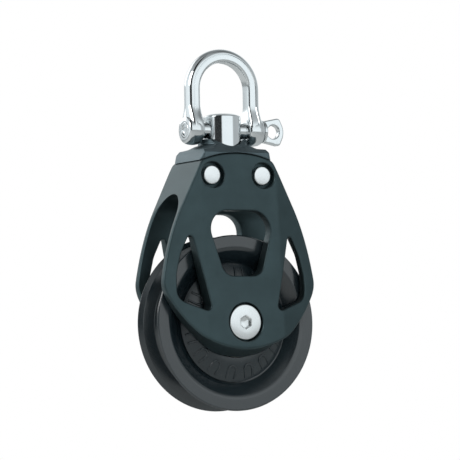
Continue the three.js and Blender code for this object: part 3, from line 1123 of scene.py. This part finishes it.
# ------------------------------------------------------------------ the axle
@dataclass
class Axle:
    """The axle: a barrel bolt from the front and a screw from the back, each with a hexagon socket."""

    coats: Coats
    face_y: float = 10.9
    head_radius: float = 4.6
    head_depth: float = 1.7
    shank_radius: float = 3.5
    socket_radius: float = 1.65
    socket_depth: float = 1.4

    def socket(self, angle: float) -> float:
        """Measures the hexagon socket.

        Args:
            angle: The direction from the middle.

        Returns:
            The distance to the wall in that direction.
        """
        sector = math.pi / 3
        turn = (angle + sector / 2) % sector - sector / 2
        return self.socket_radius * math.cos(sector / 2) / math.cos(turn)

    def head(self, side: int) -> Shell:
        """Builds one half of the axle: a head with a low crown, a rounded rim and a socket, and a shank.

        Args:
            side: FRONT or BACK.

        Returns:
            The closed shell.
        """
        face, radius, count = self.face_y, self.head_radius, 96
        shell = Shell()
        seat = face - self.head_depth
        rim = rounded([(2.4, face, 0), (radius, face - 0.1, 0.45), (radius, seat, 0)], 6, False)
        under = [(self.shank_radius, seat), (self.shank_radius, 2.0), (0.0, 2.0)]
        angles = [2 * math.pi * index / count + math.pi / 6 for index in range(count)]
        rings = []
        floor_y = face - self.socket_depth
        rings.append(shell.ring([(0.0, side * (floor_y - 0.4), 0.0) for _ in angles]))
        for grow, y in ((0.0, floor_y), (0.0, face - 0.18), (0.18, face)):
            spots = []
            for angle in angles:
                reach = self.socket(angle) + grow
                spots.append((reach * math.cos(angle), side * y, reach * math.sin(angle)))
            rings.append(shell.ring(spots))
        for reach, y in [*rim, *under]:
            spots = [(reach * math.cos(a), side * y, reach * math.sin(a)) for a in angles]
            rings.append(shell.ring(spots))
        shell.skin(rings)
        return shell

    def build(self) -> None:
        """Builds both halves of the axle."""
        for name, side in (("axle_bolt", FRONT), ("axle_screw", BACK)):
            mesh = self.head(side).mesh(name)
            set_down(mesh, f"{name}_faced", "frame", [self.coats.faced], [name], 30.0)


# ------------------------------------------------------------------ the sheave
@dataclass
class Sheave:
    """The sheave with its rope groove, and a ribbed cover on each side of its hub."""

    coats: Coats
    radius: float = 22.5
    half_width: float = 5.9
    groove_radius: float = 16.4
    ribs: int = 16
    rib_half_width: float = 1.12
    rib_radius: float = 0.3
    rib_inner: float = 11.0
    rib_outer: float = 14.3
    rib_phase_deg: float = -6.0
    dome_inner: float = 9.4
    dome_width: float = 5.6
    dome_top: float = 5.7
    dome_fall: float = 1.7
    dome_power: float = 2.2

    def flank(self) -> list[Flat]:
        """Draws half of the sheave's section.

        Returns:
            The line from the bore out to the bottom of the groove.
        """
        out = self.half_width
        corners = [
            (5.9, 2.4, 0),
            (9.9, 2.4, 0),
            (9.9, 3.4, 0),
            (15.3, 3.4, 1.2),
            (18.9, out, 2.2),
            (22.15, out, 0.25),
            (self.radius, 5.5, 0.15),
            (21.2, 4.75, 0.5),
            (18.3, 3.9, 1.4),
            (16.8, 2.1, 1.6),
            (self.groove_radius, 0.0, 0),
        ]
        return rounded(corners, 7, False)

    def cover_y(self, radius: float) -> float:
        """Finds the face of a hub cover: a low dome.

        Args:
            radius: The distance from the axle.

        Returns:
            How far out the face stands.
        """
        share = min(1.0, max(0.0, (radius - self.dome_inner) / self.dome_width))
        return self.dome_top - self.dome_fall * share**self.dome_power

    def cover(self, side: int) -> Shell:
        """Builds a hub cover: a low dome with a row of arched ribs on it.

        Args:
            side: FRONT or BACK.

        Returns:
            The dome and its ribs.
        """
        radii = [self.dome_inner + self.dome_width * index / 16 for index in range(17)]
        dome = [(radius, self.cover_y(radius)) for radius in radii]
        profile = [(8.9, 5.25), (8.9, 5.7), *dome, (15.0, 3.7), (9.4, 3.7), (9.4, 5.25)]
        shell = turned([(r, side * y) for r, y in profile], Axis.Y, sides=144)
        for index in range(self.ribs):
            turn = 2 * math.pi * index / self.ribs + math.radians(self.rib_phase_deg)
            shell.add(self.rib(turn, side))
        return shell

    def rib(self, angle: float, side: int) -> Shell:
        """Returns one rib: a bead that runs in from the rim, round an arch and out again.

        Args:
            angle: Where the rib stands on the cover.
            side: FRONT or BACK.

        Returns:
            The bead, sunk to its middle in the cover.
        """
        half = self.rib_half_width
        turn = self.rib_inner + half
        legs = [turn + (self.rib_outer - turn) * part / 6 for part in range(7)]
        path = [(reach, -half) for reach in reversed(legs)]
        for step in range(1, 10):
            bend = math.pi * step / 10
            path.append((turn - half * math.sin(bend), -half * math.cos(bend)))
        path += [(reach, half) for reach in legs]
        shell = Shell()
        rings = []
        for index, (reach, aside) in enumerate(path):
            before = Vector(path[max(0, index - 1)])
            after = Vector(path[min(len(path) - 1, index + 1)])
            along = (after - before).normalized()
            across = Vector((-along.y, along.x))
            spots = []
            for turn_step in range(8):
                swing = 2 * math.pi * turn_step / 8
                u = reach + across.x * self.rib_radius * math.cos(swing)
                v = aside + across.y * self.rib_radius * math.cos(swing)
                y = self.cover_y(math.hypot(u, v)) + self.rib_radius * math.sin(swing)
                x = u * math.cos(angle) - v * math.sin(angle)
                z = u * math.sin(angle) + v * math.cos(angle)
                spots.append((x, side * y, z))
            rings.append(shell.ring(spots))
        shell.skin(rings)
        shell.face(rings[0])
        shell.face(rings[-1])
        return shell

    def build(self) -> None:
        """Builds the sheave and its covers."""
        flank = self.flank()
        section = [(r, -y) for r, y in flank] + list(reversed(flank[:-1]))
        mesh = turned(section, Axis.Y, sides=192).mesh("sheave")
        set_down(mesh, "sheave_moulding", "sheave_wheel", [self.coats.sheave], ["sheave"], 30.0)
        for word, side in (("front", FRONT), ("back", BACK)):
            mesh = self.cover(side).mesh(f"cover_{word}", 0.0005)
            name = f"hub_cover_{word}_moulding"
            set_down(mesh, name, "sheave_wheel", [self.coats.cover], [f"hub_cover_{word}"], 45.0)


# ------------------------------------------------------------------ the swivel
@dataclass
class Swivel:
    """The polished post that turns in the head and carries the shackle pin."""

    coats: Coats
    radius: float = 4.8
    neck: float = 2.6
    shoulder_z: float = 43.9
    top_z: float = 53.7
    bore_z: float = 49.5
    bore_radius: float = 2.12

    def build(self) -> None:
        """Builds the post."""
        corners = [
            (0.0, 35.0, 0),
            (self.neck, 35.0, 0.3),
            (self.neck, self.shoulder_z, 0),
            (self.radius, self.shoulder_z, 0.2),
            (self.radius, self.top_z - 0.55, 0.35),
            (self.radius - 1.5, self.top_z, 1.0),
            (0.0, self.top_z, 0),
        ]
        post = turned(rounded(corners, 6, False), Axis.Z, sides=128, closed=False).mesh("post")
        reach = self.radius + 2
        bore = [(0.0, -reach), (self.bore_radius, -reach), (self.bore_radius, reach), (0.0, reach)]
        post = carve(post, [turned(bore, Axis.X, (0.0, 0.0, self.bore_z), 48, closed=False)])
        set_down(post, "swivel_post_polished", "swivel", [self.coats.bright], ["swivel_post"], 30.0)


# ------------------------------------------------------------------ the shackle
@dataclass
class Shackle:
    """The D shackle: a forged bow with an eye at each foot, and a captive pin with a finger tab."""

    coats: Coats
    leg_x: float = 8.7
    crown_z: float = 60.1
    half_x: float = 1.75
    half_y: float = 2.05
    pin_z: float = 49.5
    neck_z: float = 56.2
    foot_z: float = 50.2
    pin_radius: float = 2.05
    eye_radius: float = 3.85
    eye_swell: float = 0.95
    flare_width: float = 0.22
    flare_half_y: float = 3.8
    tab_half_y: float = 0.95
    eye_inner: float = 6.6
    eye_outer: float = 10.9
    bore_radius: float = 2.12

    def section(self) -> list[Flat]:
        """Draws the bow's section: a rounded back, a step, and a flat inner half.

        Returns:
            Points as outward and y.
        """
        half: list[Flat] = []
        for step in range(9):
            angle = math.pi / 2 * step / 8
            half.append((0.35 + 1.4 * math.cos(angle), self.half_y * math.sin(angle)))
        half += [(0.22, self.half_y - 0.16), (0.05, self.half_y - 0.16)]
        edge = self.half_y - 0.1
        half += rounded([(0.0, edge, 0), (-self.half_x, edge, 0.8), (-self.half_x, 0, 0)], 6, False)
        return half + [(u, -v) for u, v in reversed(half[1:-1])]

    def bow(self) -> Shell:
        """Sweeps one section up a leg, over the crown and down, flaring at each foot.

        Returns:
            The closed shell.
        """
        section = self.section()
        shell = Shell()
        stations: list[tuple[Spot, Vector, float, float]] = []
        heights = [self.foot_z + (self.crown_z - self.foot_z) * part / 32 for part in range(32)]
        for z in heights:
            stations.append(((-self.leg_x, 0, z), Vector((-1, 0, 0)), *self.flare(z)))
        for step in range(49):
            angle = math.pi * (1 - step / 48)
            arm = Vector((math.cos(angle), 0, math.sin(angle)))
            spot = (self.leg_x * arm.x, 0, self.crown_z + self.leg_x * arm.z)
            stations.append((spot, arm, 1.0, 1.0))
        for z in reversed(heights):
            stations.append(((self.leg_x, 0, z), Vector((1, 0, 0)), *self.flare(z)))
        rings = []
        for spot, arm, wide, deep in stations:
            spots = [(spot[0] + arm.x * u * wide, v * deep, spot[2] + arm.z * u * wide) for u, v in section]
            rings.append(shell.ring(spots))
        shell.skin(rings)
        shell.face(rings[0])
        shell.face(rings[-1])
        return shell

    def flare(self, z: float) -> tuple[float, float]:
        """Widens a leg towards its eye.

        Args:
            z: The height.

        Returns:
            How many times wider and deeper the leg is there.
        """
        share = min(1.0, max(0.0, (self.neck_z - z) / (self.neck_z - self.foot_z)))
        share *= share * (3 - 2 * share)
        return 1 + self.flare_width * share, 1 + (self.flare_half_y / self.half_y - 1) * share

    def eye(self, hand: int) -> Shell:
        """Turns the eye at one foot: a drum that swells between two flat ends.

        Args:
            hand: -1 for the left foot and 1 for the right.

        Returns:
            The shell, with its bore.
        """
        middle, half = (self.eye_inner + self.eye_outer) / 2, (self.eye_outer - self.eye_inner) / 2
        swell = [math.radians(a) for a in range(-76, 77, 8)]
        line = [(self.bore_radius, self.eye_inner)]
        for angle in swell:
            radius = self.eye_radius - self.eye_swell * (1 - math.cos(angle))
            line.append((radius, middle + half * math.sin(angle) / math.sin(swell[-1])))
        line.append((self.bore_radius, self.eye_outer))
        profile = [(r, hand * x) for r, x in line]
        return turned(profile, Axis.X, (0.0, 0.0, self.pin_z), 96)

    def pin(self) -> Shell:
        """Turns the pin's shank with a ringed end, and the collar under its tab.

        Returns:
            The closed shell.
        """
        end = -self.eye_outer - 0.05
        corners = [
            (0.0, end + 0.4, 0),
            (1.35, end + 0.4, 0.1),
            (1.5, end, 0.08),
            (self.pin_radius, end, 0.25),
            (self.pin_radius, self.eye_outer + 0.3, 0),
            (2.9, self.eye_outer + 0.3, 0.25),
            (2.9, self.eye_outer + 1.1, 0.25),
            (1.6, self.eye_outer + 1.4, 0),
            (0.0, self.eye_outer + 1.4, 0),
        ]
        return turned(rounded(corners, 5, False), Axis.X, (0.0, 0.0, self.pin_z), 72, closed=False)

    def tab(self) -> Shell:
        """Builds the finger tab: a rounded plate with a lanyard hole.

        Returns:
            The closed shell.
        """
        z = self.pin_z
        lower = [(11.5, z - 2.7, 0.8), (16.4, z - 3.7, 1.0)]
        upper = [(16.4, z + 3.7, 1.0), (11.5, z + 2.7, 0.8)]
        outline = rounded([*lower, (18.2, z, 4.5), *upper], 8)
        hole = circle((14.6, z), 1.75, 48)
        shell = Shell()
        faces = []
        for loop, soft in ((spaced(outline, 0.6), 0.4), (hole, 0.3)):
            rings = []
            for turn in range(-5, 6):
                angle = math.pi / 2 * abs(turn) / 5
                back = soft * (1 - math.cos(angle)) if turn else 0.0
                lift = self.tab_half_y - soft + soft * math.sin(angle)
                y = math.copysign(lift, turn) if turn else 0.0
                rings.append(shell.ring([(u, y, v) for u, v in inset(loop, back)]))
            shell.skin(rings)
            faces.append((rings[0], rings[-1]))
        shell.fill([pair[0] for pair in faces], lambda x, z: -self.tab_half_y)
        shell.fill([pair[1] for pair in faces], lambda x, z: self.tab_half_y)
        return shell

    def build(self) -> None:
        """Builds the bow and the pin."""
        bow = self.bow()
        for hand in (-1, 1):
            bow.add(self.eye(hand))
        bright = [self.coats.bright]
        set_down(bow.mesh("bow"), "shackle_bow_polished", "shackle", bright, ["shackle_bow"], 38.0)
        pin = self.pin()
        pin.add(self.tab())
        set_down(pin.mesh("pin"), "shackle_pin_polished", "shackle", bright, ["shackle_pin"], 38.0)


# ------------------------------------------------------------------ the inner bearing
@dataclass
class InnerBearing:
    """The parts inside, which keep their CAD meshes and get their finishes."""

    coats: Coats
    steel: tuple[str, ...] = ("side_race_front", "side_race_back", "swivel_nut", "swivel_nut_washer")
    white: tuple[str, ...] = ("ball_cage_front", "ball_cage_back", "swivel_bearing_washer")

    def build(self) -> None:
        """Dresses each inner node."""
        for name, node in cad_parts.items():
            if name in self.steel:
                self.dress(node, self.coats.faced)
            elif name in self.white or name.startswith("side_ball"):
                self.dress(node, self.coats.white)
            elif name == "bearing_sleeve":
                self.dress(node, self.coats.sleeve)

    def dress(self, node: bpy.types.Object, coat: bpy.types.Material) -> None:
        """Gives every material slot of a node one coat.

        Args:
            node: The CAD node.
            coat: The material.
        """
        for slot in node.material_slots:
            slot.material = coat


# ------------------------------------------------------------------ the studio
@dataclass
class Studio:
    """A pale paper floor, soft lights and the camera."""

    coats: Coats
    yaw_deg: float = 28.416
    elevation_deg: float = -3.336
    roll_deg: float = 1.08
    distance: float = 824.47
    aim_right: float = 1.561
    aim_up: float = 23.942
    lens: float = 252.0
    floor_z: float = -95.0
    floor_radius: float = 3000.0
    room_strength: float = 1.12
    tint: Spot = (0.92, 0.99, 1.02)
    panels: tuple[Flat, ...] = (
        (-180, 0.6), (-155, 0.6), (-130, 0.95), (-78, 1.0), (-74, 0.03), (-31, 0.03), (-27, 1.0), (40, 1.0),
        (46, 0.45), (105, 0.5), (118, 0.85), (180, 0.6),
    )
    heights: tuple[Flat, ...] = (
        (-1.0, 0.6), (-0.2, 0.85), (0.1, 1.0), (0.45, 0.9), (0.65, 0.5), (0.85, 0.3), (1.0, 0.35)
    )

    lights: tuple[tuple[str, Spot, float, float], ...] = (
        ("key_light", (-640.0, -60.0, 400.0), 380.0, 1.6),
        ("rim_light", (-180.0, 600.0, 360.0), 420.0, 0.55),
    )

    def floor(self) -> None:
        """Lays the floor well below the hanging block."""
        edge = [(0.0, self.floor_z), (self.floor_radius, self.floor_z)]
        shell = turned(edge, Axis.Z, sides=96, closed=False)
        mesh = shell.mesh("floor")
        mesh.transform(row_matrix())
        mesh.materials.append(self.coats.paper)
        piece = bpy.data.objects.new("floor", mesh)
        bpy.context.scene.collection.objects.link(piece)

    def camera(self) -> None:
        """Sets the camera where the block is seen from a little left of its front and a little below."""
        yaw, lift, roll = [math.radians(a) for a in (self.yaw_deg, self.elevation_deg, self.roll_deg)]
        back = Vector((-math.sin(yaw) * math.cos(lift), -math.cos(yaw) * math.cos(lift), math.sin(lift)))
        right = Vector((math.cos(yaw), -math.sin(yaw), 0.0))
        up = back.cross(right)
        aim = right * self.aim_right + up * self.aim_up
        lean_up = up * math.cos(roll) + right * math.sin(roll)
        lean_right = right * math.cos(roll) - up * math.sin(roll)
        turn = Matrix((lean_right, lean_up, back)).transposed().to_4x4()
        data = bpy.data.cameras.new("camera")
        data.sensor_width = 36.0
        data.lens = self.lens
        camera = bpy.data.objects.new("camera", data)
        spot = row_matrix() @ (aim + back * self.distance)
        camera.matrix_world = Matrix.Translation(spot) @ turn
        bpy.context.scene.collection.objects.link(camera)
        bpy.context.scene.camera = camera

    def light(self, name: str, spot: Spot, size: float, power: float) -> None:
        """Hangs a square soft light that faces the block.

        Args:
            name: Its name.
            spot: Where it hangs, in millimetres.
            size: The length of its side, in millimetres.
            power: Its power in watts.
        """
        data = bpy.data.lights.new(name, "AREA")
        data.shape = "SQUARE"
        data.size = size * MM
        data.energy = power
        lamp = bpy.data.objects.new(name, data)
        lamp.location = row_matrix() @ Vector(spot)
        lamp.visible_camera = False
        aim = row_matrix() @ Vector((0.0, 0.0, 15.0))
        lamp.rotation_euler = (aim - lamp.location).to_track_quat("-Z", "Y").to_euler()
        bpy.context.scene.collection.objects.link(lamp)

    def surroundings(self) -> None:
        """Surrounds the block with pale and dark panels, which the steel shows, and a white backdrop."""
        world = bpy.data.worlds.new("studio")
        world.use_nodes = True
        bpy.context.scene.world = world
        tree = world.node_tree
        tree.nodes.clear()
        place = add_node(tree, "ShaderNodeTexCoord").outputs["Generated"]
        parts = add_node(tree, "ShaderNodeSeparateXYZ", {}, {"Vector": place})
        away = add_node(tree, "ShaderNodeMath", {"operation": "MULTIPLY", 1: -1.0}, {0: parts.outputs["Y"]})
        round_about = add_node(
            tree,
            "ShaderNodeMath",
            {"operation": "ARCTAN2"},
            {0: parts.outputs["X"], 1: away.outputs["Value"]},
        )
        share = add_node(
            tree,
            "ShaderNodeMapRange",
            {"From Min": -math.pi, "From Max": math.pi},
            {"Value": round_about.outputs["Value"]},
        )
        panels = self.ramp(tree, share.outputs["Result"], [((a + 180) / 360, v) for a, v in self.panels])
        height = add_node(tree, "ShaderNodeMapRange", {"From Min": -1.0}, {"Value": parts.outputs["Z"]})
        heights = self.ramp(tree, height.outputs["Result"], [((h + 1) / 2, v) for h, v in self.heights])
        light = add_node(
            tree,
            "ShaderNodeMix",
            {"data_type": "RGBA", "blend_type": "MULTIPLY", 0: 1.0},
            {6: panels, 7: heights},
        )
        tint = add_node(
            tree,
            "ShaderNodeMix",
            {"data_type": "RGBA", "blend_type": "MULTIPLY", 0: 1.0, 7: (*self.tint, 1.0)},
            {6: light.outputs[2]},
        )
        strength = {"Strength": self.room_strength}
        room = add_node(tree, "ShaderNodeBackground", strength, {"Color": tint.outputs[2]})
        paper = add_node(tree, "ShaderNodeBackground", {"Color": (1.0, 1.0, 1.0, 1.0)})
        seen = add_node(tree, "ShaderNodeLightPath").outputs["Is Camera Ray"]
        views = {0: seen, 1: room.outputs["Background"], 2: paper.outputs["Background"]}
        mixed = add_node(tree, "ShaderNodeMixShader", {}, views)
        add_node(tree, "ShaderNodeOutputWorld", {}, {"Surface": mixed.outputs["Shader"]})

    def ramp(
        self, tree: bpy.types.NodeTree, source: bpy.types.NodeSocket, stops: Sequence[Flat]
    ) -> bpy.types.NodeSocket:
        """Adds a ramp of greys.

        Args:
            tree: The node tree.
            source: What drives it, from 0 to 1.
            stops: Places and brightnesses.

        Returns:
            The ramp's colour.
        """
        ramp = add_node(tree, "ShaderNodeValToRGB", {}, {"Fac": source})
        elements = ramp.color_ramp.elements
        for place, _ in stops[1:-1]:
            elements.new(place)
        for element, (_, shade) in zip(elements, stops):
            element.color = (shade, shade, shade, 1.0)
        return ramp.outputs["Color"]

    def build(self) -> None:
        """Builds the studio."""
        bpy.context.scene.view_settings.view_transform = "Standard"
        self.floor()
        self.camera()
        self.surroundings()
        for name, spot, size, power in self.lights:
            self.light(name, spot, size, power)


def main() -> None:
    """Builds the block piece by piece, then the studio around it."""
    logging.basicConfig(level=logging.INFO, format="%(name)s: %(message)s")
    coats = Coats()
    for assembly in (ForgedFrame, Head, Axle, Sheave, Swivel, Shackle, InnerBearing, Studio):
        assembly(coats).build()
        LOG.info("%s done", assembly.__name__)


if __name__ == "__main__":
    main()
